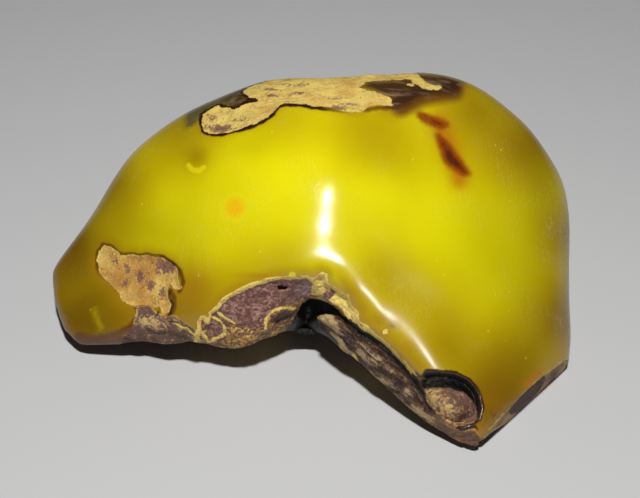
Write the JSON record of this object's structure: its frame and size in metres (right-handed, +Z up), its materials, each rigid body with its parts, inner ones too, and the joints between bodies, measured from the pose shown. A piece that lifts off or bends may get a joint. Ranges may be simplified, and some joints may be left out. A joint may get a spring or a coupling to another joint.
{
  "type": "raw amber piece",
  "caption": "Palm-sized bent lump of polished opaque amber with weathered crust, a broken notch between its lobes, a pit and a cleft; it lies on a flat worn underside.",
  "frame": {"origin": "centre of the bounding box, on the ground plane that the worn underside rests on", "axes": "+Z up from the surface it lies on, +X along its length toward the lobe with the pit, +Y away from the notch"},
  "size_m": [0.079, 0.0534, 0.0347],
  "materials": {
    "amber": "polished opaque butterscotch amber with patches of weathered crust"
  },
  "bodies": {
    "root": {"amber_piece": "amber"}
  },
  "joints": []
}
